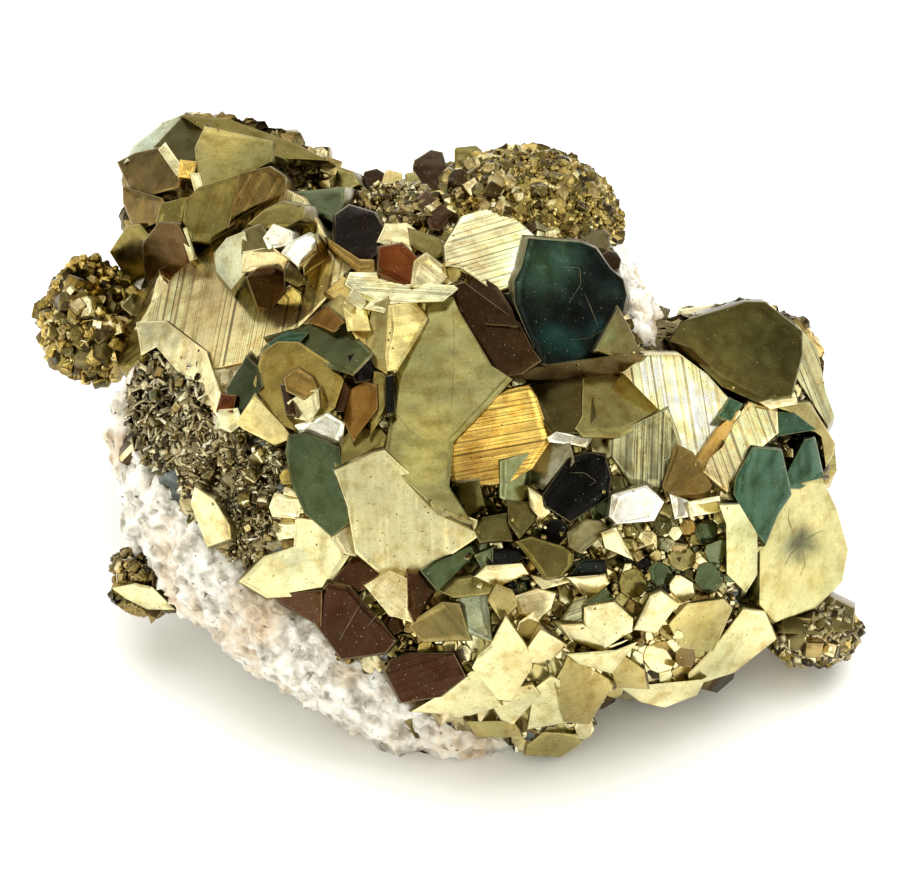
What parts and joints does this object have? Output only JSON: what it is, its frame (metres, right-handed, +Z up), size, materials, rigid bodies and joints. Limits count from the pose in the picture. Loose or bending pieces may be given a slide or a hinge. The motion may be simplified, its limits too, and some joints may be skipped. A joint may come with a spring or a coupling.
{
  "type": "pyrite specimen",
  "caption": "Hand specimen of intergrown brassy pyrite crystals with striated and mirror-flat faces, grown over a lump of white milky quartz that it rests on.",
  "frame": {"origin": "centre of the object's box, on the surface that it rests on", "axes": "+Z up; +X to the right along the specimen's length, seen from its best side; +Y away from that side"},
  "size_m": [0.0712, 0.0586, 0.0365],
  "materials": {
    "milky_quartz": "rough granular milky quartz, slightly see-through at its thin edges, with peach iron stains",
    "pyrite": "natural crystal faces, from mirror-flat to finely striated, pale brass to dark tarnish",
    "pyrite_corner": "natural crystal faces, pale brass"
  },
  "bodies": {
    "root": {"quartz_matrix": "milky_quartz", "pyrite_cluster": "pyrite", "pyrite_corner_crystal": "pyrite_corner"}
  },
  "joints": []
}
